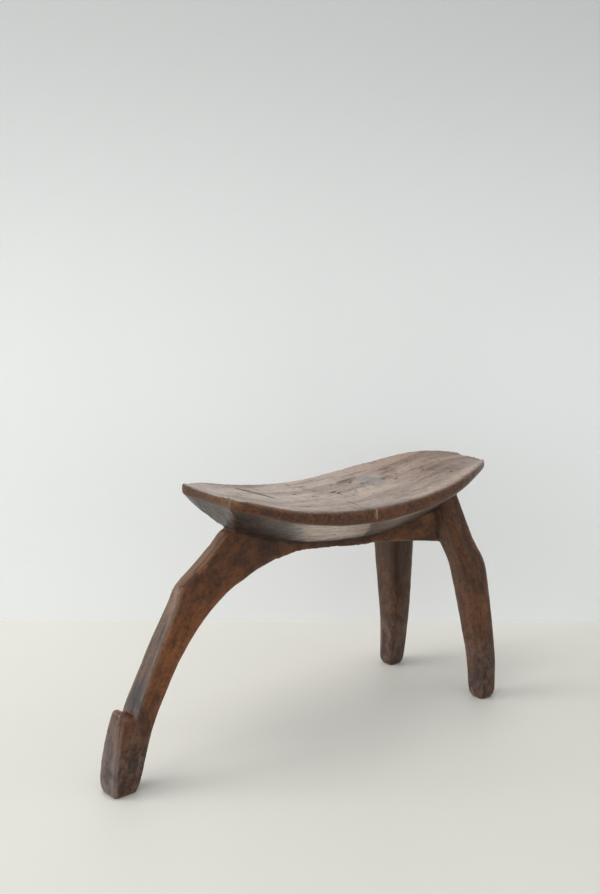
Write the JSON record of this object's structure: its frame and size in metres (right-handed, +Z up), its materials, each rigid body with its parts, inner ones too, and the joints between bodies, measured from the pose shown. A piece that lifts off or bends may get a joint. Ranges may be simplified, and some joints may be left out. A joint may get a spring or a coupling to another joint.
{
  "type": "milking stool",
  "caption": "Low wooden stool with a dished, boat-bottomed seat on a cranked front leg with a raised toe and splayed rear legs, joined by a thin spine under the keel.",
  "frame": {"origin": "centre of the bounding box's footprint, on the floor under the feet", "axes": "+X along the length from the single front leg towards the two rear legs, +Y from the left rear leg to the right rear leg, +Z up"},
  "size_m": [0.5581, 0.1721, 0.302],
  "materials": {
    "seat_wood": "worn, hand-polished satin patina over grey-brown wood",
    "frame_wood": "dark red-brown patina, satin, worn lighter on the arrises"
  },
  "bodies": {
    "root": {"seat": "seat_wood", "spine": "frame_wood", "front_leg": "frame_wood", "crotch_block": "frame_wood", "rear_leg_left": "frame_wood", "rear_leg_right": "frame_wood"}
  },
  "joints": []
}
